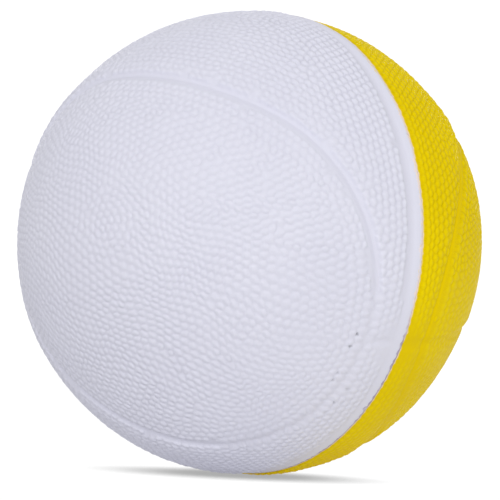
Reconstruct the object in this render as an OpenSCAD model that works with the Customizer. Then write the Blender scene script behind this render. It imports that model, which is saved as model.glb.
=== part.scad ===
// Soft foam squeeze ball with ball-game seams, painted in two colours.
//
// The origin is the ball's centre. -X points to the pole of the white half and +X to the pole of the
// yellow half. The ball stands on its lowest point, straight below the origin on -Z.

/* [Ball] */
// Diameter over the painted surface
ball_d = 101.6; // [60:0.1:130]
// Thickness of the dense skin that closes the foam
skin_t = 2; // [1.5:0.1:4]
// Thickness of the elastic colour coats over the skin
coat_t = 1.1; // [1:0.1:2]
// How far the white coat runs past the middle seam
coat_lap = 1.4; // [0.5:0.1:2.5]

/* [Seam channels] */
// Depth of a channel at its deepest line
channel_depth = 0.6; // [0.3:0.05:0.9]
// Width of a channel's steep side
channel_wall = 1; // [0.6:0.1:2]
// Width of a channel's gentle side
channel_slope = 2.6; // [1.5:0.1:4]
// Turn of the whole seam pattern about the X axis
seam_turn = 24.5; // [0:0.5:45]

/* [Loop seams] */
// Angle at the ball's centre from the pole to the middle of the loop's wide end
nose_offset = 33.7; // [28:0.1:36]
// Angle at the ball's centre from that middle to the wide end of the loop
nose_radius = 46.3; // [42:0.1:48]
// Angle at the ball's centre from the pole to the round end of the loop
back_radius = 39.7; // [36:0.1:45]

/* [Hidden] */
$fn = 180;

ball_r = ball_d / 2;
skin_r = ball_r - coat_t;
core_r = skin_r - skin_t;
// Height of the cutters' open mouth above the surface that they cut
mouth = 0.4;
// Depth of the channel that runs from one loop to the other
cross_depth = channel_depth * 0.7;
// Steps along the round end, the straight run and the wide end of each half of a loop
back_steps = 14;
run_steps = 10;
nose_steps = 14;

// ---- Directions on a ball of radius 1, in the white half's own axes: pole, crossing, side ----

function unit(v) = v / norm(v);

// v turned about a unit axis
function turned(v, axis, angle) =
    v * cos(angle) + cross(axis, v) * sin(angle) + axis * (axis * v) * (1 - cos(angle));

// v with its share along a unit axis taken out
function across(v, axis) = unit(v - axis * (axis * v));

// Unsigned angle about a unit axis from one direction to another
function angle_about(axis, from, to) = acos(across(from, axis) * across(to, axis));

pole = [1, 0, 0];
nose_middle = [cos(nose_offset), sin(nose_offset), 0];
nose_tip = [cos(nose_offset + nose_radius), sin(nose_offset + nose_radius), 0];
back_tip = [cos(back_radius), -sin(back_radius), 0];

// Axis of the great circle that the straight run follows: it touches both round ends
run_pole = sin(back_radius);
run_crossing = (sin(nose_radius) - nose_middle[0] * run_pole) / nose_middle[1];
run_axis = [run_pole, run_crossing, -sqrt(1 - run_pole * run_pole - run_crossing * run_crossing)];
run_start = across(nose_middle, run_axis);
run_end = across(pole, run_axis);

// Points of one arc, each with the axis that it turns about, which lies inside the loop
function arc(axis, from, sweep, steps) =
    [for (i = [0:steps - 1]) [turned(from, axis, sweep * i / steps), axis]];

half_loop = concat(
    arc(nose_middle, nose_tip, angle_about(nose_middle, nose_tip, run_start), nose_steps),
    arc(run_axis, run_start, acos(run_start * run_end), run_steps),
    arc(pole, run_end, angle_about(pole, run_end, back_tip), back_steps)
);

// The same arcs on the other side of the crossing, walked back to the start
function other_side(p) = [for (v = p) [v[0], v[1], -v[2]]];
last_point = len(half_loop) - 1;
loop = concat(
    half_loop,
    [[back_tip, pole]],
    [for (i = [last_point:-1:1]) other_side(half_loop[i])]
);

// ---- Channel cutters ----

// Outline across a channel: x runs from the gentle side to the steep side, y outwards
channel = [
    [-channel_slope, mouth],
    [channel_wall, mouth],
    [channel_wall / 3, -channel_depth],
    [-channel_slope / 3, -channel_depth]
];

// Outline across the shallower channel that runs from one loop to the other, with two steep sides
cross_channel = [
    [-channel_wall, mouth / 2],
    [channel_wall, mouth / 2],
    [channel_wall / 3, -cross_depth],
    [-channel_wall / 3, -cross_depth]
];

// Closed channel along one half's loop, with its steep side inside the loop
module loop_cutter(side) {
    sides = len(channel);
    rings = len(loop);
    points = [
        for (p = loop, q = channel)
            let (v = p[0] * (ball_r + q[1]) + across(p[1], p[0]) * q[0])
            [side * v[0], -v[1], v[2]]
    ];
    faces = [
        for (i = [0:rings - 1], k = [0:sides - 1])
            let (
                j = (i + 1) % rings,
                m = (k + 1) % sides,
                near = i * sides + (side < 0 ? k : m),
                near_next = i * sides + (side < 0 ? m : k),
                far = j * sides + (side < 0 ? k : m),
                far_next = j * sides + (side < 0 ? m : k)
            )
            each [[near, near_next, far_next], [near, far_next, far]]
    ];
    polyhedron(points, faces);
}

// Channel all the way round where the two halves meet, with its steep side on the yellow half
module middle_cutter() {
    rotate([0, 90, 0])
        rotate_extrude()
            translate([ball_r, 0])
                polygon([for (q = channel) [q[1], q[0]]]);
}

// Channel from one loop to the other, both in front and behind
module cross_cutter() {
    front = 90 - nose_offset - nose_radius;
    behind = 90 - back_radius;
    for (reach = [[-90, front], [90, behind]])
        rotate([0, 0, reach[0] - reach[1]])
            rotate_extrude(angle = 2 * reach[1])
                translate([ball_r, 0])
                    polygon([for (q = cross_channel) [q[1], q[0]]]);
}

// Ball with its poles on the X axis, clear of the channels
module ball(r) {
    rotate([0, 90, 0])
        sphere(r);
}

// ---- The ball's pieces: side is -1 for the white half and 1 for the yellow half ----

// Everything on one side of the plane x = edge
module half_space(side, edge) {
    translate([side < 0 ? edge - ball_d : edge, -ball_d, -ball_d])
        cube([ball_d, 2 * ball_d, 2 * ball_d]);
}

module skin(side) {
    intersection() {
        difference() {
            ball(skin_r);
            ball(core_r);
        }
        half_space(side, 0);
    }
}

module coat(side) {
    intersection() {
        rotate([seam_turn, 0, 0])
            difference() {
                ball(ball_r);
                middle_cutter();
                cross_cutter();
                loop_cutter(side);
                ball(skin_r);
            }
        half_space(side, coat_lap);
    }
}

module foam_core() {
    color([0.93, 0.9, 0.8])
        ball(core_r);
}

module white_side_skin() {
    color([0.9, 0.87, 0.78])
        skin(-1);
}

module yellow_side_skin() {
    color([0.86, 0.83, 0.72])
        skin(1);
}

module white_coat() {
    color([0.88, 0.88, 0.94])
        coat(-1);
}

module yellow_coat() {
    color([0.87, 0.78, 0.05])
        coat(1);
}

foam_core();
white_side_skin();
yellow_side_skin();
white_coat();
yellow_coat();
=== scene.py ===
import math

import bmesh
import bpy
import numpy as np
from mathutils import Matrix, Vector, kdtree
from mathutils.geometry import delaunay_2d_cdt


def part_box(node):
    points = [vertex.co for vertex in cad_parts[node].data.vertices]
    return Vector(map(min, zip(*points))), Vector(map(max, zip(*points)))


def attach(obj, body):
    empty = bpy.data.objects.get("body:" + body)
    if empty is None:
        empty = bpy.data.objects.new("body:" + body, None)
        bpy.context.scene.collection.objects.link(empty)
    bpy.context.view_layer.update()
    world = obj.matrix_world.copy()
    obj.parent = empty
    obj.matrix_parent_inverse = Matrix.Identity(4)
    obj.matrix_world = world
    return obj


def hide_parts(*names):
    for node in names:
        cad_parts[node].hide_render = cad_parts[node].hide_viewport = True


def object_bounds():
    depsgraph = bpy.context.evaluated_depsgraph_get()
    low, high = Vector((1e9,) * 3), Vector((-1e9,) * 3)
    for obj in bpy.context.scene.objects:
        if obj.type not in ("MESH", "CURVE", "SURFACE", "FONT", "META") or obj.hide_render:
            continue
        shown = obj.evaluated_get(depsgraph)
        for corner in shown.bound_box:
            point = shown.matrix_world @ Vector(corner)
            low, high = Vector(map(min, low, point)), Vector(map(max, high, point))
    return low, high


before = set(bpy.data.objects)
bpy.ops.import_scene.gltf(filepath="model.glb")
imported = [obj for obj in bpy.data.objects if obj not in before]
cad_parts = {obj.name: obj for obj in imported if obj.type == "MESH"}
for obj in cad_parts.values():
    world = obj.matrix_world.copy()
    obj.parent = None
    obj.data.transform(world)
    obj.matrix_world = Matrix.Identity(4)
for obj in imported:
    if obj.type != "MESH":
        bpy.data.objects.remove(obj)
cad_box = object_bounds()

# A foam squeeze ball in two painted halves. Directions are unit vectors in the shared frame: -X is the
# pole of the white half and +X the pole of the yellow half. Angles are in degrees at the ball's
# centre unless a name says otherwise, and heights over the ball's surface are in metres.

WHITE, YELLOW = -1, 1

# ---- Sizes from the CAD model ----
BALL_R = (cad_box[1].x - cad_box[0].x) / 2
SKIN_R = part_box("white_side_skin")[1].z
CORE_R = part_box("foam_core")[1].z
MM = 0.001

# ---- Seam lines ----
SEAM_TURN = 24.5
NOSE_OFFSET, NOSE_RADIUS, BACK_RADIUS = 33.7, 46.3, 39.7
PAINT_EDGE = 1.63          # where the yellow paint begins, past the middle seam
# From the middle seam to the ends of a loop, in front and behind
LOOP_END_GAP = 90 - NOSE_OFFSET - NOSE_RADIUS
BACK_END_GAP = 90 - BACK_RADIUS

# ---- Relief ----
PITCH = math.degrees(0.0365)          # from one pebble to the next
ROW = PITCH * math.sqrt(3) / 2
PEBBLE = 0.31 * MM                    # how high a whole pebble stands
PEBBLE_SPREAD = (0.82, 1.18)          # lowest and highest pebble among equals
SINK = 0.2 * MM                       # how far the pebbles' feet lie inside the ball's own radius
LIP = 0.03 * MM                       # step from the white paint down to the yellow
WAVINESS = 0.05 * MM                  # slow unevenness of the whole ball

# Channels: depth, and the angles from the line over which the surface falls and then rises again
LOOP_DEPTH = {WHITE: 0.62 * MM, YELLOW: 0.434 * MM}
LOOP_WALL = {WHITE: (-0.8, 0.7), YELLOW: (-0.35, 0.3)}
LOOP_SLOPE = {WHITE: (0.8, 2.6), YELLOW: (0.4, 2.4)}
MIDDLE_DEPTH = 0.65 * MM
MIDDLE_WALL, MIDDLE_SLOPE = (-4.3, -1.3), (-1.0, 1.4)
CROSS_DEPTH = 0.25 * MM
CROSS_HALF = {WHITE: 1.5, YELLOW: 2.2}           # half the width of the channel between the loops
CROSS_REACH = {WHITE: LOOP_END_GAP, YELLOW: 55}  # how far it runs in front, from the middle seam
YELLOW_CROSS_DEEPENING = 1.2, (6, 24)            # how much deeper it gets on the yellow half, and where

# Swellings beside the channels: height, and the angles over which the surface rises and then falls again
LOOP_SWELLING = 0.18 * MM, (1.8, 4.5), (5, 13)
YELLOW_EDGE_SWELLING = 0.2 * MM, (1.4, 6), (11, 26)
WHITE_EDGE_HOLLOW = 0.15 * MM, (-26, -8), (-5, -1)

# Where the outline departs from a ball: direction, the angle at which the change has faded, its height
YELLOW_FRONT_DENT = (0.6, -0.72, -0.38), 34, -0.4 * MM
YELLOW_TOP_DENT = (0.17, -0.16, 0.97), 45, -0.5 * MM
WHITE_BACK_DENT = (-0.42, 0.39, 0.82), 60, -0.35 * MM
WHITE_BACK_LIP = (-0.42, 0.39, 0.82), 50, 0.45 * MM

# Where pebbles stand higher or lower: direction, the angle at which the change has faded, its share
WHITE_UPPER_PEBBLES = (-0.35, -0.6, 0.72), 42, 0.5
WHITE_TOP_PEBBLES = (-0.2, 0.25, 0.95), 50, -0.3
WHITE_SIDE_PEBBLES = (-0.73, 0.68, -0.1), 70, -0.35
YELLOW_TOP_PEBBLES = (0.17, -0.16, 0.97), 44, -0.65
YELLOW_FRONT_PEBBLES = (0.6, -0.72, -0.38), 44, -0.75

# Where the mould is worn smooth, the angles between which the wear fades, and what it takes away
WORN_SPOT, WORN_FADE = (-0.12, -0.72, -0.68), (16, 46)
WORN_CHANNELS, WORN_PEBBLES = 0.7, 0.45

rng = np.random.default_rng(7)


# ---- Geometry on the unit sphere ----

def unit(v):
    return v / np.linalg.norm(v, axis=-1, keepdims=True)


def ease(x, start, end):
    """Smooth step from 0 at start to 1 at end."""
    t = np.clip((x - start) / (end - start), 0, 1)
    return t * t * (3 - 2 * t)


def seam_axes(side):
    """Rows: the half's pole, the point where the two loops come closest, and the side of the seams."""
    turn = math.radians(SEAM_TURN)
    c, s = math.cos(turn), math.sin(turn)
    return np.array([[side, 0, 0], [0, -c, -s], [0, -s, c]])


def from_pole(side, polar, turn):
    """The direction at an angle from a half's pole, turned from the crossing towards the seam's side."""
    polar, turn = np.radians(polar), np.radians(turn)
    local = np.stack(np.broadcast_arrays(
        np.cos(polar), np.sin(polar) * np.cos(turn), np.sin(polar) * np.sin(turn)), -1)
    return local @ seam_axes(side)


def across(v, axis):
    """v with its share along a unit axis taken out, at unit length."""
    return unit(v - axis * (v @ axis)[..., None])


def on_crossing(angle):
    """The direction at an angle from the pole towards the crossing, in a half's own axes."""
    return np.array([math.cos(math.radians(angle)), math.sin(math.radians(angle)), 0])


def chord(angle):
    """The straight distance between two directions at an angle."""
    return 2 * math.sin(math.radians(angle) / 2)


def tree_of(points):
    """The points in a tree that finds the nearest ones."""
    tree = kdtree.KDTree(len(points))
    for i, p in enumerate(points):
        tree.insert(p, i)
    tree.balance()
    return tree


# The loop is a wide round end, two straight runs and a tighter round end, as in the CAD model.
POLE = np.array([1.0, 0, 0])
NOSE = on_crossing(NOSE_OFFSET)
_run_pole = math.sin(math.radians(BACK_RADIUS))
_run_cross = (math.sin(math.radians(NOSE_RADIUS)) - NOSE[0] * _run_pole) / NOSE[1]
RUN = np.array([_run_pole, _run_cross, -math.sqrt(1 - _run_pole ** 2 - _run_cross ** 2)])
RUN_START, RUN_END = across(NOSE, RUN), across(POLE, RUN)


def loop_distance(v, side):
    """Angle from the loop's line, negative inside the loop."""
    local = v @ seam_axes(side).T
    local[:, 2] = np.abs(local[:, 2])
    middle = unit(RUN_START + RUN_END)
    nose_wall, pole_wall = np.cross(RUN, NOSE), np.cross(RUN, POLE)
    past_nose = (local @ nose_wall) * (middle @ nose_wall) < 0
    past_pole = (local @ pole_wall) * (middle @ pole_wall) < 0

    def angle(axis):
        return np.degrees(np.arccos(np.clip(local @ axis, -1, 1)))

    straight = angle(RUN) - 90
    return np.where(past_pole, angle(POLE) - BACK_RADIUS,
                    np.where(past_nose, angle(NOSE) - NOSE_RADIUS, straight))


def turned(v, axis, angles):
    """v turned about a unit axis by each angle, in radians."""
    c, s = np.cos(angles)[:, None], np.sin(angles)[:, None]
    return v * c + np.cross(axis, v) * s + axis * (axis @ v) * (1 - c)


def loop_row(side, offset, spacing, shift):
    """Directions along a loop, at an offset outwards from its line."""
    def sweep(axis, start, end):
        a, b = across(start, axis), across(end, axis)
        return axis, start, math.acos(np.clip(a @ b, -1, 1))

    step = math.radians(offset)
    nose_tip, back_tip = on_crossing(NOSE_OFFSET + NOSE_RADIUS), on_crossing(-BACK_RADIUS)
    arcs = [sweep(NOSE, nose_tip, RUN_START), sweep(RUN, RUN_START, RUN_END),
            sweep(POLE, RUN_END, back_tip)]
    radii = [math.sin(math.radians(r + offset)) for r in (NOSE_RADIUS, 90, BACK_RADIUS)]
    lengths = [angle * r for (_, _, angle), r in zip(arcs, radii)]
    count = round(sum(lengths) / math.radians(spacing))
    places = (np.arange(count) + shift) * sum(lengths) / count
    points = []
    for (axis, start, angle), r, length in zip(arcs, radii, lengths):
        here = places[(places >= 0) & (places < length)]
        along = turned(start, axis, here / r)
        outwards = -unit(axis - along * (along @ axis)[:, None])
        points.append(along * math.cos(step) + outwards * math.sin(step))
        places = places - length
    half = np.concatenate(points)
    other = half[np.abs(half[:, 2]) > 1e-6] * [1, 1, -1]
    return np.concatenate([half, other]) @ seam_axes(side)


def middle_row(past, spacing, shift):
    """Directions on a circle parallel to the middle seam, at an angle past it on the yellow side."""
    count = round(360 * math.cos(math.radians(past)) / spacing)
    turn = (np.arange(count) + shift) * 360 / count
    return from_pole(YELLOW, 90 - past, turn)


# ---- Height of the surface over the ball ----

def past_middle(v):
    """Angle past the middle seam, positive on the yellow side."""
    return np.degrees(np.arcsin(np.clip(v[:, 0], -1, 1)))


def away_from(v, direction):
    """Angle from a direction."""
    return np.degrees(np.arccos(np.clip(v @ unit(np.array(direction, float)), -1, 1)))


def band(x, rise, fall):
    """Rises from 0 to 1 between two angles, and falls back to 0 between two more."""
    return ease(x, *rise) * (1 - ease(x, *fall))


def spot(v, place):
    """A change's size in its own direction, fading to 0 at its reach."""
    direction, reach, size = place
    return size * (1 - ease(away_from(v, direction), 0, reach))


def cross_channel(v, past, side):
    """1 at the bottom of the shallow channel between the loops. The yellow half carries it on inside its
    loop."""
    off = np.degrees(np.arcsin(np.clip(v @ seam_axes(side)[2], -1, 1)))
    ahead = v @ seam_axes(side)[1] > 0
    reach = np.where(ahead, CROSS_REACH[side], BACK_END_GAP)
    away = np.abs(past)
    along = (1 - ease(away, reach - 1.5, reach)) * ease(away, 0.5, 4)
    return (1 - ease(np.abs(off), 0.2, CROSS_HALF[side])) * along


def worn(v):
    """1 in the middle of the worn spot, low in front of the crossing, and 0 far from it."""
    return 1 - ease(away_from(v, WORN_SPOT), *WORN_FADE)


def surface_height(v):
    """Height of the surface without its pebbles."""
    past = past_middle(v)
    height = np.full(len(v), -SINK)
    depth = 1 - WORN_CHANNELS * worn(v)
    swelling, *stretches = LOOP_SWELLING
    for side in (WHITE, YELLOW):
        own = past * side > 0
        out = loop_distance(v[own], side)
        height[own] -= LOOP_DEPTH[side] * depth[own] * band(out, LOOP_WALL[side], LOOP_SLOPE[side])
        height[own] += swelling * depth[own] * band(out, *stretches)
        share, stretch = YELLOW_CROSS_DEEPENING
        cross_depth = CROSS_DEPTH * (1 + share * ease(past[own], *stretch))
        height[own] -= cross_depth * cross_channel(v[own], past[own], side)
    height -= MIDDLE_DEPTH * depth * band(past, MIDDLE_WALL, MIDDLE_SLOPE)
    swelling, *stretches = YELLOW_EDGE_SWELLING
    height += swelling * band(past, *stretches)
    hollow, *stretches = WHITE_EDGE_HOLLOW
    height -= hollow * band(past, *stretches)
    # The front dent lies below the channel between the loops, and the lip outside the white loop
    below = -np.degrees(np.arcsin(np.clip(v @ seam_axes(YELLOW)[2], -1, 1)))
    height += spot(v, YELLOW_FRONT_DENT) * ease(below, 0.2, 1.2) * ease(past, 6, 22)
    height += spot(v, YELLOW_TOP_DENT) * ease(past, 0.5, 4)
    height += spot(v, WHITE_BACK_DENT) * ease(-past, 0, 8)
    outside_loop = band(loop_distance(v, WHITE), (0.4, 1.6), (3, 9))
    height += spot(v, WHITE_BACK_LIP) * outside_loop * (past < 0)
    waves = np.sin(v @ [5.1, 3.3, -4.2] + 0.7) + np.sin(v @ [-3.7, 6.4, 2.9] + 2.1)
    return height + WAVINESS * waves


def pebble_share(v):
    """How high the pebbles stand. They are lower beside the channels and where the mould was polished,
    and higher beside the middle seam."""
    past = past_middle(v)
    full = np.ones(len(v))
    for side in (WHITE, YELLOW):
        own = past * side > 0
        out = loop_distance(v[own], side)
        near, far = LOOP_WALL[side]
        full[own] *= ease(-out, -near - 0.2, 1 - near) + ease(out, far, far + 1.3)
        full *= 0.25 + 0.75 * ease(away_from(v, seam_axes(side)[1]), 3, 9)
    full *= 1 + spot(v, WHITE_UPPER_PEBBLES) + 0.5 * ease(past, 1, 8) * (1 - worn(v))
    full *= 1 + 0.4 * band(past, (-24, -12), (-3, 0))
    top, front = spot(v, YELLOW_TOP_PEBBLES), spot(v, YELLOW_FRONT_PEBBLES)
    full *= 1 + top * ease(past, 0, 3) + front * ease(past, 0, 4)
    full *= 1 - 0.4 * ease(past, 28, 44)
    full *= 1 + spot(v, WHITE_SIDE_PEBBLES) * ease(-past, 0, 10) + spot(v, WHITE_TOP_PEBBLES)
    return full * (1 - WORN_PEBBLES * worn(v))


# ---- Where the pebbles are ----

# Rows of pebbles parallel to the middle seam, and rows that follow a loop's line inside and outside it
EDGE_ROWS, EDGE_START = {WHITE: 8, YELLOW: 11}, {WHITE: 4.1, YELLOW: PAINT_EDGE + 0.6 * PITCH}
INNER_ROWS, INNER_START = 3, {WHITE: -2.0, YELLOW: -1.2}
OUTER_ROWS, OUTER_START = {WHITE: 14, YELLOW: 4}, {WHITE: 2.4, YELLOW: 1.6}
FLAT_RADIUS = 1.36         # how far the flat layout of the other pebbles reaches, in ball radii
JITTER = 0.0042            # how far a pebble strays from its place, in ball radii
BEND = 0.028               # how far the waves move a row, in ball radii
RIPPLE = 0.009             # how far the shorter waves move it
# Smallest gaps: between pebbles, and from a pebble to a flat site before and after pebbles settle
OWN_GAP, FLAT_GAP, SETTLED_GAP = PITCH * 0.62, PITCH * 0.4, PITCH * 0.35
# Rows of flat sites in the middle seam's channel, as angles past the seam, and a finer row beyond them
SEAM_ROWS, LAST_SEAM_ROW = (-2.8, -1.95, -1.1, -0.3), 0.6
# Each bulge is (place, push, reach) in the flat layout, in ball radii
BULGES = [((0.93, -0.12), (0, -0.08), 0.2), ((0.34, 0.05), (0.05, 0), 0.16)]

# Each whorl is (angle from the pole, turn, reach): rings of pebbles round it take the lattice's place
WHITE_WHORLS = [(11, 30, 8), (70, 150, 8), (62, 215, 10)]
YELLOW_WHORLS = [(60, 250, 7)]


def wrapped(side, flat):
    """Directions for points laid out flat about a half's pole, where equal areas stay equal."""
    size = np.hypot(flat[:, 0], flat[:, 1])
    polar = 2 * np.arcsin(np.clip(size / 2, 0, 1))
    return from_pole(side, np.degrees(polar), np.degrees(np.arctan2(flat[:, 1], flat[:, 0])))


def bent(flat):
    """Bends straight rows into slow waves, with a few deeper bulges."""
    x, y = flat[:, 0], flat[:, 1]
    moved = flat + BEND * np.stack([np.sin(9 * y + 3 * x + 0.5), np.sin(8 * x - 4 * y + 2.2)], -1)
    moved += RIPPLE * np.stack([np.sin(21 * y - 15 * x + 1.0), np.sin(23 * x + 17 * y + 0.3)], -1)
    for centre, push, reach in BULGES:
        away = np.hypot(x - centre[0], y - centre[1])
        moved += np.exp(-0.5 * (away / reach) ** 2)[:, None] * np.array(push)
    return moved


def lattice(side):
    """Pebbles on straight rows towards the crossing, and the direction in which each one's row runs."""
    pitch, row = math.radians(PITCH), math.radians(ROW)
    count = int(FLAT_RADIUS / row)
    i, j = np.meshgrid(np.arange(-count, count + 1), np.arange(-count, count + 1))
    flat = np.stack([(i + 0.5 * (j % 2)) * pitch, j * row], -1).reshape(-1, 2)
    flat = flat[np.hypot(flat[:, 0], flat[:, 1]) < FLAT_RADIUS]
    # On one side inside the loop, the pebbles are joined along the lattice's next direction
    inside = loop_distance(wrapped(side, flat), side) < 0
    slant = np.where(inside & (flat[:, 1] > 0.3), math.radians(60), 0)
    step = 0.01 * np.stack([np.cos(slant), np.sin(slant)], -1)
    points = wrapped(side, bent(flat))
    return points, unit(wrapped(side, bent(flat + step)) - points)


def whorl_rings(centre, reach):
    """Pebbles on rings round a centre, each ring turned a little at random."""
    up = unit(np.cross(centre, [0.31, 0.52, -0.8]))
    rings = [centre[None]]
    for j in range(1, round(reach / ROW) + 1):
        polar = math.radians(j * ROW)
        count = max(6, round(2 * math.pi * math.sin(polar) / math.radians(PITCH)))
        start = turned(centre * math.cos(polar) + up * math.sin(polar), centre,
                       (np.arange(count) + 0.5 * (j % 2) + 0.3 * rng.random()) * 2 * math.pi / count)
        rings.append(start)
    return np.concatenate(rings)


def half_pebbles(side, whorls):
    """The pebbles of one half before they settle, and the direction in which each one's row runs."""
    centres = np.array([from_pole(side, polar, turn) for polar, turn, _ in whorls])
    reach = np.array([r for _, _, r in whorls])
    first = EDGE_START[side]
    found = []
    for k in range(-1 if side == WHITE else 0, EDGE_ROWS[side]):
        points = middle_row(side * (first + k * ROW), PITCH, 0.5 * (k % 2))
        points = points[loop_distance(points, side) > OUTER_START[side] + 0.7 * ROW]
        if k < 0:
            points = points[worn(points) > 0.5]
        found.append((points, np.cross([1.0, 0, 0], points)))
    last = first + (EDGE_ROWS[side] - 0.5) * ROW
    for k in range(INNER_ROWS):
        points = loop_row(side, INNER_START[side] - k * ROW, PITCH, 0.5 * (k % 2))
        found.append((points, np.cross(from_pole(side, 20, 0), points)))
    for k in range(OUTER_ROWS[side]):
        points = loop_row(side, OUTER_START[side] + k * ROW, PITCH, 0.5 * (k % 2))
        points = points[past_middle(points) * side > (last if k else first)]
        found.append((points, np.cross(from_pole(side, 20, 0), points)))
    inside = INNER_START[side] - (INNER_ROWS - 0.5) * ROW
    outside = OUTER_START[side] + (OUTER_ROWS[side] - 0.5) * ROW

    def in_field(points):
        out = loop_distance(points, side)
        return (out < inside) | ((out > outside) & (past_middle(points) * side > last))

    points, rows = lattice(side)
    away = np.degrees(np.arccos(np.clip(points @ centres.T, -1, 1))) - reach
    keep = in_field(points) & (away.min(1) > 0)
    found.append((points[keep], rows[keep]))
    for centre, size in zip(centres, reach):
        points = whorl_rings(centre, size)
        points = points[in_field(points)]
        found.append((points, np.cross(centre, points)))
    points, rows = (np.concatenate(part) for part in zip(*found))
    return points, unit(rows + 1e-9)


def in_loop_channel(v, side):
    """Which directions lie in a loop's channel, where no pebble stands."""
    out = loop_distance(v, side)
    return (out > INNER_START[side] + 0.5) & (out < OUTER_START[side] - 0.5)


def loop_sites(side):
    """Flat sites along a loop's channel, in rows with an offset and a spacing."""
    near, far = LOOP_WALL[side]
    rows = [(near - 0.05, 1.0), (near + 0.45 * (far - near), 1.0), (far, 1.0)]
    if side == WHITE:
        rows.append((far + 0.55, 1.1))
    return np.concatenate([loop_row(side, offset, spacing, 0.5 * (k % 2))
                           for k, (offset, spacing) in enumerate(rows)])


def cross_sites(side):
    """Flat sites in three rows along the shallow channel between the loops, in front and behind."""
    found = []
    for turn, gap, rows in ((0, LOOP_END_GAP, (-0.9, 0, 0.9)), (180, BACK_END_GAP, (0.9, 0, -0.9))):
        polar = 90 - np.arange(3.8, gap - 3.6, 1.15)
        for off in rows:
            found.append(from_pole(side, polar, turn + off / np.sin(np.radians(polar))))
    return np.concatenate(found)


def groove_sites(side, rim):
    """All the flat sites of one half, clear of the paint edge."""
    sites = [loop_sites(side), cross_sites(side)]
    if side == WHITE:
        sites += [middle_row(past, 1.5, 0.5 * (k % 2)) for k, past in enumerate(SEAM_ROWS)]
        sites.append(middle_row(LAST_SEAM_ROW, 0.9, 0.25))
    sites = np.concatenate(sites)
    past = past_middle(sites)
    if side == WHITE:
        sites = sites[(past < PAINT_EDGE - 0.3) & ((past > -1.5) | (worn(sites) < 0.5))]
    else:
        sites = sites[past > PAINT_EDGE + 0.5]
    return sites[standing_clear(sites, rim, 0.55)]


def standing_clear(points, fixed, gap):
    """Which points stand clear of the fixed ones and of the points before them."""
    tree = tree_of(np.concatenate([fixed, points]))
    reach = chord(gap)
    kept = np.ones(len(points), bool)
    for i, p in enumerate(points):
        for _, j, _ in tree.find_range(p, reach):
            if j < len(fixed) or (j < len(fixed) + i and kept[j - len(fixed)]):
                kept[i] = False
                break
    return kept


def spread(points, fixed, steps, push):
    """Moves the points apart where they crowd, and towards gaps. The fixed ones stay."""
    reach = chord(PITCH * 1.15)
    for _ in range(steps):
        everything = np.concatenate([points, fixed])
        tree = tree_of(everything)
        moved = points.copy()
        for i, p in enumerate(points):
            near = [j for _, j, _ in tree.find_range(p, reach) if j != i]
            if near:
                gaps = p - everything[near]
                size = np.linalg.norm(gaps, axis=1, keepdims=True)
                moved[i] += push * (gaps / size * (reach - size)).sum(0)
        points = unit(moved)
    return points


def settled_pebbles(side, whorls, rim, groove):
    """The pebbles of one half, a little out of line and clear of the channels and of each other."""
    fixed = np.concatenate([rim, groove])
    pebbles, rows = half_pebbles(side, whorls)
    keep = ~in_loop_channel(pebbles, side)
    pebbles, rows = pebbles[keep], rows[keep]
    for others, gap in ((fixed[:0], OWN_GAP), (fixed, FLAT_GAP)):
        keep = standing_clear(pebbles, others, gap)
        pebbles, rows = pebbles[keep], rows[keep]
    strayed = unit(pebbles + JITTER * rng.normal(size=pebbles.shape))
    pebbles = spread(strayed, rim, 3, 0.2)
    keep = standing_clear(pebbles, fixed, SETTLED_GAP)
    return pebbles[keep], rows[keep]


# ---- Coat meshes ----

RIM_COUNT = 720            # points along the paint edge, and along the edge of each skin
# The paint edge's raggedness, as angles: the smallest and largest scallop, and the nicks into either paint
SCALLOPS = (0.05, 0.6)
NICKS, NICK_DEPTH = 44, (-0.6, 0.35)
# A pebble's shape: where its ring lies on the way to a cell corner and to an edge middle, how high it is
# there, how deep the corners are, and how high the neck stands between two pebbles of one row
CORNER_SHARE, MIDDLE_SHARE, SHOULDER = 0.6, 0.66, 0.78
GULLY, NECK = -0.1, 0.5


def rim_line():
    """Directions along the edge between the two paints: slow waves, scallops at the pebbles, and nicks."""
    turn = np.arange(RIM_COUNT) * 360 / RIM_COUNT
    phase = np.radians(turn)
    ragged = 0.12 * np.sin(5 * phase + 0.4) + 0.08 * np.sin(13 * phase + 2.0)
    beads = turn / PITCH
    size = rng.uniform(*SCALLOPS, math.ceil(360 / PITCH))
    ragged += size[beads.astype(int)] * (np.sin(np.pi * (beads % 1)) - 0.6)
    ragged += 0.05 * rng.normal(size=RIM_COUNT)
    for nick in rng.choice(RIM_COUNT, NICKS, replace=False):
        ragged[np.arange(nick, nick + 2) % RIM_COUNT] += rng.uniform(*NICK_DEPTH)
    return from_pole(YELLOW, 90 - PAINT_EDGE - ragged, turn)


def triangles_inside(points, side):
    """Delaunay triangles on the sphere inside the rim, which is the first points. They run anticlockwise
    as seen from outside."""
    local = points @ seam_axes(side).T
    flat = local[:, 1:] / (1 + local[:, :1])
    rim = [(i, (i + 1) % RIM_COUNT) for i in range(RIM_COUNT)]
    made = delaunay_2d_cdt([Vector(p) for p in flat], rim, [], 1, 1e-9, True)
    source = np.array([ids[0] if ids else -1 for ids in made[3]])
    faces = source[np.array(made[2])]
    if (faces < 0).any():
        raise ValueError("the paint edge crosses itself")
    a, b, c = (points[faces[:, k]] for k in range(3))
    inward = (np.cross(b - a, c - a) * (a + b + c)).sum(1) < 0
    faces[inward] = faces[inward][:, ::-1]
    return faces


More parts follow.
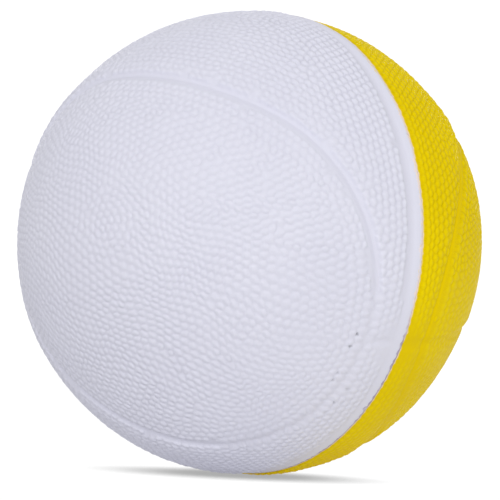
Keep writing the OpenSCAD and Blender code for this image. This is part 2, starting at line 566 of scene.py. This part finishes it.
def triangle_sides(faces, n):
    """For each side of each triangle: the triangle, the side's number in it, the two ends, and the same
    side in the triangle beyond it, or -1 where it is open. The points' numbers are below n."""
    t, k = np.repeat(np.arange(len(faces)), 3), np.tile(np.arange(3), len(faces))
    a, b = faces[t, k], faces[t, (k + 1) % 3]
    key, back = a * n + b, b * n + a
    order = np.argsort(key)
    twin = order[np.minimum(np.searchsorted(key[order], back), len(key) - 1)]
    return t, k, a, b, np.where(key[twin] != back, -1, twin)


def pebble_mesh(points, faces, domed, rows):
    """Cuts the triangles between the sites into a cell round each site, with a ring of points on each
    pebble. Returns all directions, the share of a whole pebble's height at each, the new faces and the
    open edges."""
    n, m = len(points), len(faces)
    t, k, a, b, twin = triangle_sides(faces, n)
    open_side = twin < 0

    # Cell corners at the middle of each triangle, and edge middles shared by the two cells
    corners = unit(points[faces].sum(1))
    own_id = np.arange(len(twin))
    middle_id = np.where(twin > own_id, own_id, np.where(open_side, -1, twin))
    owners = np.unique(middle_id[middle_id >= 0])
    place = np.zeros(len(twin), int)
    place[owners] = np.arange(len(owners))
    middle = n + m + place[middle_id]
    middles = unit(points[a[owners]] + points[b[owners]])
    heading = unit(points[b[owners]] - points[a[owners]])
    in_row = np.abs((heading * rows[a[owners]]).sum(1)) * np.abs((heading * rows[b[owners]]).sum(1))
    neck = NECK * ease(in_row, 0.8, 0.97) * np.minimum(domed[a[owners]], domed[b[owners]])

    # The ring on each pebble: towards its corners and towards its edge middles
    first = n + m + len(owners)
    to_corner = first + np.arange(3 * m)
    to_middle = first + 3 * m + np.arange(3 * m)
    a_points = points[a]
    ring_corner = unit(a_points * (1 - CORNER_SHARE) + corners[t] * CORNER_SHARE)
    near_middle = np.where(open_side[:, None], a_points, unit(a_points + points[b]))
    ring_middle = unit(a_points * (1 - MIDDLE_SHARE) + near_middle * MIDDLE_SHARE)
    directions = np.concatenate([points, corners, middles, ring_corner, ring_middle])
    gully = GULLY * domed[faces].min(1)
    share = np.concatenate([domed, gully, neck, domed[a] * SHOULDER, domed[a] * SHOULDER])

    inner = np.flatnonzero(~open_side)
    ta, tb = t[inner], t[twin[inner]]
    kb = (k[twin[inner]] + 1) % 3
    site, mid = a[inner], middle[inner]
    va, vb = n + ta, n + tb
    rm, rva, rvb = to_middle[inner], to_corner[inner], to_corner[3 * tb + kb]
    # A flat site's cell is finer on its sides towards pebbles than towards other flat sites
    pebble = domed[site] > 0
    smooth = ~pebble & (domed[b[inner]] == 0)
    beside = ~pebble & ~smooth
    wedges = [(site, b[inner], va, smooth), (site, mid, va, beside), (site, vb, mid, beside),
              (site, rm, rva, pebble), (rm, mid, va, pebble), (rm, va, rva, pebble),
              (site, rvb, rm, pebble), (rvb, vb, mid, pebble), (rvb, mid, rm, pebble)]
    made = [np.stack([x[use], y[use], z[use]], 1) for x, y, z, use in wedges]
    edge = np.flatnonzero(open_side)
    made.append(np.stack([a[edge], b[edge], n + t[edge]], 1))
    made = np.concatenate(made)
    used = np.unique(made)
    renumber = np.zeros(len(directions), int)
    renumber[used] = np.arange(len(used))
    return directions[used], share[used], renumber[made], renumber[np.stack([a[edge], b[edge]], 1)]


def new_mesh(name, co, faces):
    """A smooth object of triangles."""
    mesh = bpy.data.meshes.new(name)
    mesh.vertices.add(len(co))
    mesh.vertices.foreach_set("co", np.asarray(co, np.float32).ravel())
    mesh.loops.add(faces.size)
    mesh.loops.foreach_set("vertex_index", np.asarray(faces, np.int32).ravel())
    mesh.polygons.add(len(faces))
    mesh.polygons.foreach_set("loop_start", np.arange(0, faces.size, 3, dtype=np.int32))
    mesh.update(calc_edges=True)
    mesh.validate()
    mesh.polygons.foreach_set("use_smooth", np.ones(len(mesh.polygons), bool))
    piece = bpy.data.objects.new(name, mesh)
    bpy.context.scene.collection.objects.link(piece)
    return piece


def set_values(piece, name, values):
    """Stores one value per point for the materials."""
    attribute = piece.data.attributes.new(name, "FLOAT", "POINT")
    attribute.data.foreach_set("value", np.asarray(values, np.float32))


def inner_sites(side):
    """Directions for the smooth inside of a coat. On the yellow half the last ring lies outside the paint
    edge, so that coat has a band of extra faces there, hidden under the white coat."""
    rings = [from_pole(side, 0, 0)[None]]
    for polar in np.arange(4, 88, 4):
        count = round(360 * math.sin(math.radians(polar)) / 4)
        rings.append(from_pole(side, polar, np.arange(count) * 360 / count))
    rings.append(from_pole(side, 89.0, np.arange(240) * 1.5))
    return np.concatenate(rings)


# Each pinhole is (angle from the pole, turn, how deep it is and how dark its painted shade is)
PINHOLES = [(78.0, 0.5, 0.8), (77.0, -2, 0.7), (77.0, -9, 0.35), (76.5, -11.5, 0.4), (81.5, -13.5, 0.3),
            (80.5, -18, 0.45)]
PIT_DEPTH = 0.3 * MM
THINNEST = 0.05 * MM       # the least that a coat stands above the skin
FAR_FROM_RIM = 9.0         # the angle from the paint edge that stands for far away


def pit_marks(directions, share):
    """How dark each point is as a pinhole, in painted shade, and the share of the pit's depth there. A
    pinhole is the point between pebbles nearest to its place.
    """
    pit = np.zeros(len(directions))
    for polar, turn, dark in PINHOLES:
        away = np.linalg.norm(directions - from_pole(WHITE, polar, turn), axis=1)
        pit[np.where(share < 0, away, 9).argmin()] = dark
    return pit


def gap_to_rim(directions, rim):
    """Angle from the paint edge, where it is near."""
    tree = tree_of(rim)
    gap = np.full(len(directions), FAR_FROM_RIM)
    near = np.abs(past_middle(directions) - PAINT_EDGE) < 3
    gap[near] = [math.degrees(tree.find(p)[2]) for p in directions[near]]
    gap[:RIM_COUNT] = 0
    return gap


def build_coat(name, side, whorls, rim):
    """One half's paint: pebbles and channels outside, smooth inside, joined at the paint edge."""
    groove = groove_sites(side, rim)
    pebbles, rows = settled_pebbles(side, whorls, rim, groove)
    sites = np.concatenate([rim, groove, pebbles])
    flat = len(rim) + len(groove)
    domed = np.zeros(len(sites))
    domed[flat:] = pebble_share(pebbles) * rng.uniform(*PEBBLE_SPREAD, len(pebbles))
    site_rows = np.concatenate([np.zeros((flat, 3)), rows])
    faces = triangles_inside(sites, side)
    directions, share, faces, edge = pebble_mesh(sites, faces, domed, site_rows)

    pit = pit_marks(directions, share) if side == WHITE else np.zeros(len(directions))
    height = surface_height(directions) + PEBBLE * share - PIT_DEPTH * pit
    height[:RIM_COUNT] += LIP if side == WHITE else 0
    height = np.maximum(height, SKIN_R - BALL_R + THINNEST)
    outside = directions * (BALL_R + height)[:, None]

    inner = np.concatenate([rim, inner_sites(side)])
    inner_faces = triangles_inside(inner, side)[:, ::-1] + len(outside)
    a, b = edge.T
    c, d = a + len(outside), b + len(outside)
    wall = np.concatenate([np.stack([b, a, c], 1), np.stack([b, c, d], 1)])
    co = np.concatenate([outside, inner * SKIN_R])
    piece = new_mesh(name, co, np.concatenate([faces, inner_faces, wall]))

    unmarked = np.zeros(len(inner))
    gap = gap_to_rim(directions, rim)
    set_values(piece, "rim_gap", np.concatenate([gap, unmarked + FAR_FROM_RIM]))
    # Painted shade for the paint: 1 in the hollows between pebbles, a little less on flat ground, 0 on the
    # pebbles
    set_values(piece, "valley_shade", np.concatenate([ease(-share, -0.5, 0.1), unmarked]))
    # How dark the painted shade in each pinhole is
    set_values(piece, "pit", np.concatenate([pit, unmarked]))
    return piece


# ---- The foam inside ----

CELL_R = 1.3               # half the width of a large foam cell, as an angle
CELLS = 5200               # large cells all over the core, and as many all over the skins' inside
SKIN_HOLES = 900           # places all over the skins' outside, of which one in seven has a pinhole
SKIN_POINTS = 26000        # directions spread over the ball, half of them for each skin
# How far the core's surface and the skins' inner surface stay from the CAD surface between them
FOAM_GAP = 0.03 * MM
# Depth of the core's cells, of the cells in a skin's inner surface, and of the pinholes outside
CORE_CELL, SKIN_CELL, SKIN_HOLE = 0.4 * MM, 0.25 * MM, 0.2 * MM
# How far the skins' outer surface stays below the coats' inner surface, and how far it dips further
SKIN_GAP, SKIN_DIP = 0.06 * MM, 0.06 * MM


def even_directions(count):
    """Directions spread evenly over a ball."""
    place = np.arange(count) + 0.5
    polar = np.degrees(np.arccos(1 - 2 * place / count))
    turn = np.degrees(math.pi * (1 + math.sqrt(5)) * place)
    return from_pole(WHITE, polar, turn)


def cell_relief(directions, count, seed):
    """0 on the walls between foam cells, up to 1 in the middle of a cell. Cells are of uneven depth."""
    draw = np.random.default_rng(seed)
    middles = unit(draw.normal(size=(count, 3)))
    depth = draw.uniform(0.3, 1, count)
    tree = tree_of(middles)
    relief = np.zeros(len(directions))
    for i, p in enumerate(directions):
        (_, j, near), (_, _, far) = tree.find_n(p, 2)
        relief[i] = depth[j] * ease((far - near) / math.radians(CELL_R), 0.05, 0.8)
    return relief


def build_core(name, seed):
    """The foam ball, with its cells cut open on the surface."""
    shape = bmesh.new()
    bmesh.ops.create_icosphere(shape, subdivisions=7, radius=1)
    directions = unit(np.array([v.co for v in shape.verts]))
    faces = np.array([[v.index for v in face.verts] for face in shape.faces])
    shape.free()
    relief = cell_relief(directions, CELLS, seed)
    piece = new_mesh(name, directions * (CORE_R - FOAM_GAP - CORE_CELL * relief)[:, None], faces)
    # The cells' depth, which sets their painted shade
    set_values(piece, "cell", relief)
    return piece


def build_skin(name, side, seed):
    """Half of the skin round the foam: faintly uneven outside with a few pinholes, cell mouths inside."""
    edge = from_pole(YELLOW, 90, np.arange(RIM_COUNT) * 360 / RIM_COUNT)
    field = even_directions(SKIN_POINTS)
    field = field[field[:, 0] * side > math.sin(math.radians(0.5))]
    sites = np.concatenate([edge, field])
    faces = triangles_inside(sites, side)
    uneven = 0.5 + 0.25 * (np.sin(sites @ [31, 17, -23]) + np.sin(sites @ [-19, 37, 29]))
    holes = ease(cell_relief(sites, SKIN_HOLES, seed), 0.9, 1) * ease(np.abs(sites[:, 0]), 0.02, 0.05)
    outer = SKIN_R - (SKIN_GAP + SKIN_DIP * uneven + SKIN_HOLE * holes)
    cells = cell_relief(sites, CELLS, seed + 1) * ease(np.abs(sites[:, 0]), 0.01, 0.04)
    inner = CORE_R + (FOAM_GAP + SKIN_CELL * cells)
    n = len(sites)
    along = np.arange(RIM_COUNT)
    ahead = (along + 1) % RIM_COUNT
    sides = zip(faces.ravel(), faces[:, [1, 2, 0]].ravel())
    a, b = (along, ahead) if (0, 1) in sides else (ahead, along)
    wall = np.concatenate([np.stack([b, a, a + n], 1), np.stack([b, a + n, b + n], 1)])
    co = np.concatenate([sites * outer[:, None], sites * inner[:, None]])
    piece = new_mesh(name, co, np.concatenate([faces, faces[:, ::-1] + n, wall]))
    # Depth of the pinholes outside and of the cells inside, which sets their painted shade
    set_values(piece, "cell", np.concatenate([holes, cells]))
    return piece


# ---- Materials ----

class Shade:
    """A Principled material being wired up."""

    def __init__(self, name):
        self.material = bpy.data.materials.new(name)
        self.material.use_nodes = True
        self.tree = self.material.node_tree
        self.shader = next(n for n in self.tree.nodes if n.type == "BSDF_PRINCIPLED")
        coordinates = self.node("ShaderNodeTexCoord")
        self.place = coordinates.outputs["Object"]

    def node(self, kind, **settings):
        """A new node of a kind, with its settings."""
        made = self.tree.nodes.new(kind)
        for key, value in settings.items():
            setattr(made, key, value)
        return made

    def wire(self, source, target):
        self.tree.links.new(source, target)

    def along(self, axis):
        """The place along X, Y or Z, in metres."""
        made = self.node("ShaderNodeSeparateXYZ")
        self.wire(self.place, made.inputs[0])
        return made.outputs[axis]

    def noise(self, size, detail=2.0, rough=0.5):
        """Noise whose features are about size metres across."""
        made = self.node("ShaderNodeTexNoise")
        self.wire(self.place, made.inputs["Vector"])
        made.inputs["Scale"].default_value = 1 / size
        made.inputs["Detail"].default_value = detail
        made.inputs["Roughness"].default_value = rough
        return made.outputs["Fac"]

    def value(self, name):
        """A value stored on the mesh."""
        return self.node("ShaderNodeAttribute", attribute_name=name).outputs["Fac"]

    def ramp(self, source, low, high, out_low=0.0, out_high=1.0):
        """Maps a range of one value to another, clamped."""
        made = self.node("ShaderNodeMapRange")
        self.wire(source, made.inputs["Value"])
        for key, number in zip(("From Min", "From Max", "To Min", "To Max"), (low, high, out_low, out_high)):
            made.inputs[key].default_value = number
        return made.outputs["Result"]

    def times(self, a, b):
        """One value times another."""
        made = self.node("ShaderNodeMath", operation="MULTIPLY")
        self.wire(a, made.inputs[0])
        self.wire(b, made.inputs[1])
        return made.outputs[0]

    def mix(self, share, a, b):
        """Colour a where share is 0 and b where it is 1. A colour is a tuple or another node's output."""
        made = self.node("ShaderNodeMix", data_type="RGBA")
        self.wire(share, made.inputs["Factor"])
        for socket, colour in ((made.inputs[6], a), (made.inputs[7], b)):
            if isinstance(colour, tuple):
                socket.default_value = (*colour, 1)
            else:
                self.wire(colour, socket)
        return made.outputs[2]

    def bump(self, source, distance, before=None):
        """Normals of a surface raised by a value times a distance, over other normals if there are any."""
        made = self.node("ShaderNodeBump")
        made.inputs["Distance"].default_value = distance
        made.inputs["Strength"].default_value = 1
        self.wire(source, made.inputs["Height"])
        if before is not None:
            self.wire(before, made.inputs["Normal"])
        return made.outputs["Normal"]


# The colour of the pinholes' painted shade
PINHOLE_SHADE = (0.10, 0.10, 0.12)


def coat_material(name, colour, patch, valley_shade, edge, low_edge, edge_reach, gloss):
    """Satin elastic paint: faint patches, painted shade on all but the pebbles that is deepest in the
    hollows between them, painted shade in the pinholes, and a line along its edge, in another colour low on
    the ball."""
    shade = Shade(name)
    patches = shade.ramp(shade.noise(0.018, 3), 0.35, 0.65)
    base = shade.mix(patches, colour, patch)
    # Painted shade on all but the pebbles, deepest in the hollows between them
    base = shade.mix(shade.ramp(shade.value("valley_shade"), 0, 1, 0, 0.5), base, valley_shade)
    low = shade.ramp(shade.along("Z"), -0.012, -0.022)
    line = shade.ramp(shade.value("rim_gap"), edge_reach, edge_reach * 0.45)
    broken = shade.ramp(shade.noise(0.0025), 0.3, 0.55, 0.35, 1)
    base = shade.mix(shade.times(line, broken), base, shade.mix(low, edge, low_edge))
    # Painted shade in the pinholes
    base = shade.mix(shade.ramp(shade.value("pit"), 0, 1, 0, 0.85), base, PINHOLE_SHADE)
    shade.wire(base, shade.shader.inputs["Base Color"])
    shade.wire(shade.ramp(shade.noise(0.0012, 3), 0.3, 0.7, 0.4, 0.5), shade.shader.inputs["Roughness"])
    shade.shader.inputs["Specular IOR Level"].default_value = gloss
    fine = shade.bump(shade.noise(0.00018, 2), 0.006 * MM)
    shade.wire(shade.bump(shade.noise(0.0009, 2), 0.02 * MM, fine), shade.shader.inputs["Normal"])
    return shade.material


def foam_material(name, light, dark, cell):
    """Polyurethane foam: pale and matt, with painted shade in its large cells, and fine cells of one size
    all over, each with painted shade in its middle.
    """
    shade = Shade(name)
    cells = shade.node("ShaderNodeTexVoronoi")
    shade.wire(shade.place, cells.inputs["Vector"])
    cells.inputs["Scale"].default_value = 1 / cell
    # Painted shade in the middle of each fine cell
    base = shade.mix(shade.ramp(cells.outputs["Distance"], 0.1, 0.7), dark, light)
    base = shade.mix(shade.ramp(shade.noise(0.012, 3), 0.3, 0.7, 0, 0.35), base, dark)
    # Painted shade in the large cells, darkest where they are cut deepest
    base = shade.mix(shade.ramp(shade.value("cell"), 0, 1, 0, 0.6), base, dark)
    shade.wire(base, shade.shader.inputs["Base Color"])
    shade.wire(shade.ramp(shade.noise(0.002), 0.3, 0.7, 0.75, 0.9), shade.shader.inputs["Roughness"])
    shade.shader.inputs["Specular IOR Level"].default_value = 0.25
    shade.wire(shade.bump(cells.outputs["Distance"], 0.1 * MM), shade.shader.inputs["Normal"])
    return shade.material


# ---- The pieces ----

rim = rim_line()
white_coat = build_coat("white_paint_coat", WHITE, WHITE_WHORLS, rim)
yellow_coat = build_coat("yellow_paint_coat", YELLOW, YELLOW_WHORLS, rim)
white_coat.data.materials.append(coat_material(
    "white_satin_paint", colour=(0.835, 0.835, 0.945), patch=(0.815, 0.815, 0.93),
    valley_shade=(0.775, 0.775, 0.885), edge=(0.93, 0.80, 0.76), low_edge=(0.44, 0.38, 0.52),
    edge_reach=0.45, gloss=0.15))
yellow_coat.data.materials.append(coat_material(
    "yellow_satin_paint", colour=(0.93, 0.71, 0.0), patch=(0.89, 0.67, 0.0),
    valley_shade=(0.82, 0.58, 0.0), edge=(0.97, 0.80, 0.62), low_edge=(0.97, 0.78, 0.5),
    edge_reach=0.55, gloss=0.04))
core = build_core("foam_core_ball", 11)
core.data.materials.append(foam_material(
    "open_foam", light=(0.93, 0.9, 0.8), dark=(0.74, 0.66, 0.5), cell=0.9 * MM))
white_skin = build_skin("white_half_skin", WHITE, 21)
yellow_skin = build_skin("yellow_half_skin", YELLOW, 31)
skin_material = foam_material(
    "closed_foam_skin", light=(0.9, 0.87, 0.78), dark=(0.78, 0.72, 0.58), cell=0.4 * MM)
for skin in (white_skin, yellow_skin):
    skin.data.materials.append(skin_material)
for piece, node, finish in ((white_coat, "white_coat", "white_paint"),
                            (yellow_coat, "yellow_coat", "yellow_paint"),
                            (white_skin, "white_side_skin", "dense_skin"),
                            (core, "foam_core", "core_foam"),
                            (yellow_skin, "yellow_side_skin", "dense_skin")):
    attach(piece, "root")
    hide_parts(node)

# ---- Stage ----

FLOOR_HALF = 6.0           # half the floor's width, in metres


def floor_material():
    """Pale matt floor that throws more light up on the yellow side. Seen directly, it is white paper with
    a soft grey shade under the ball."""
    shade = Shade("pale_floor")
    shade.shader.inputs["Base Color"].default_value = (0.6, 0.6, 0.6, 1)
    shade.shader.inputs["Roughness"].default_value = 0.9
    shade.shader.inputs["Specular IOR Level"].default_value = 0.1
    shade.shader.inputs["Emission Color"].default_value = (1, 1, 1, 1)
    glare = shade.ramp(shade.along("X"), -0.1, 0.1, 0.07, 0.42)
    shade.wire(glare, shade.shader.inputs["Emission Strength"])
    open_sky = shade.node("ShaderNodeAmbientOcclusion", samples=16)
    open_sky.inputs["Distance"].default_value = 0.09
    glow = shade.node("ShaderNodeEmission")
    shade.wire(shade.ramp(open_sky.outputs["AO"], 0.08, 0.42, 0.42, 1.05), glow.inputs["Strength"])
    path = shade.node("ShaderNodeLightPath")
    both = shade.node("ShaderNodeMixShader")
    shade.wire(path.outputs["Is Camera Ray"], both.inputs[0])
    shade.wire(shade.shader.outputs["BSDF"], both.inputs[1])
    shade.wire(glow.outputs["Emission"], both.inputs[2])
    output = next(n for n in shade.tree.nodes if n.type == "OUTPUT_MATERIAL")
    shade.wire(both.outputs[0], output.inputs["Surface"])
    return shade.material


def make_floor():
    """A square floor at the height of the ball's lowest point."""
    lowest = min(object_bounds()[0].z, cad_box[0].z)
    corners = [(x * FLOOR_HALF, y * FLOOR_HALF, lowest) for x, y in ((-1, -1), (1, -1), (1, 1), (-1, 1))]
    mesh = bpy.data.meshes.new("floor")
    mesh.from_pydata(corners, [], [(0, 1, 2, 3)])
    floor = bpy.data.objects.new("floor", mesh)
    bpy.context.scene.collection.objects.link(floor)
    mesh.materials.append(floor_material())


def make_world():
    """An even white studio, brighter where the camera sees it directly."""
    world = bpy.data.worlds.new("studio")
    bpy.context.scene.world = world
    world.use_nodes = True
    tree = world.node_tree
    background = next(n for n in tree.nodes if n.type == "BACKGROUND")
    background.inputs["Color"].default_value = (1, 1, 1, 1)
    path = tree.nodes.new("ShaderNodeLightPath")
    strength = tree.nodes.new("ShaderNodeMapRange")
    strength.inputs["To Min"].default_value = 0.62
    strength.inputs["To Max"].default_value = 1.1
    tree.links.new(path.outputs["Is Camera Ray"], strength.inputs["Value"])
    tree.links.new(strength.outputs["Result"], background.inputs["Strength"])


# The camera: where it stands round the ball, how it leans, and how large the ball is in the picture
CAMERA_AZIMUTH, CAMERA_ELEVATION, CAMERA_LEAN = -43.0, -2.56, 2.74
CAMERA_DISTANCE = 11.68 * BALL_R
BALL_SHARE = 464.8 / 500
CENTRE_RIGHT, CENTRE_UP = -0.0034, 0.0336      # the ball's centre in the picture, in ball radii


def camera_axes():
    """Right, up and backwards for the camera."""
    a, e = math.radians(CAMERA_AZIMUTH), math.radians(CAMERA_ELEVATION)
    back = Vector((math.sin(a) * math.cos(e), -math.cos(a) * math.cos(e), math.sin(e)))
    upright = Vector((0, 0, 1))
    upright = (upright - back * upright.dot(back)).normalized()
    level = upright.cross(back)
    lean = math.radians(CAMERA_LEAN)
    up = upright * math.cos(lean) - level * math.sin(lean)
    return up.cross(back), up, back


def make_camera():
    """A camera that shows the ball as large, and in the same place, as the photo does."""
    right, up, back = camera_axes()
    data = bpy.data.cameras.new("camera")
    ratio = CAMERA_DISTANCE / BALL_R
    data.sensor_width = 36
    data.lens = BALL_SHARE / 2 * data.sensor_width * math.sqrt(ratio * ratio - 1)
    data.clip_start, data.clip_end = 0.05, 50
    camera = bpy.data.objects.new("camera", data)
    bpy.context.scene.collection.objects.link(camera)
    aim = (-CENTRE_RIGHT * right - CENTRE_UP * up) * BALL_R
    place = back * CAMERA_DISTANCE
    backwards = (place - aim).normalized()
    sideways = up.cross(backwards).normalized()
    upwards = backwards.cross(sideways)
    turn = Matrix((sideways, upwards, backwards)).transposed().to_4x4()
    camera.matrix_world = Matrix.Translation(place) @ turn
    bpy.context.scene.camera = camera


def make_light(name, energy, towards):
    """A soft light from far away in a direction."""
    data = bpy.data.lights.new(name, "SUN")
    data.energy = energy
    data.angle = math.radians(40)
    light = bpy.data.objects.new(name, data)
    bpy.context.scene.collection.objects.link(light)
    light.rotation_mode = "QUATERNION"
    light.rotation_quaternion = towards.normalized().to_track_quat("Z", "Y")


make_floor()
make_world()
make_camera()
right, up, back = camera_axes()
make_light("key", 1.29, back + up * 0.23 - right * 0.08)
make_light("far_side", 0.55, up * 0.1 - back)
bpy.context.scene.view_settings.view_transform = "Standard"
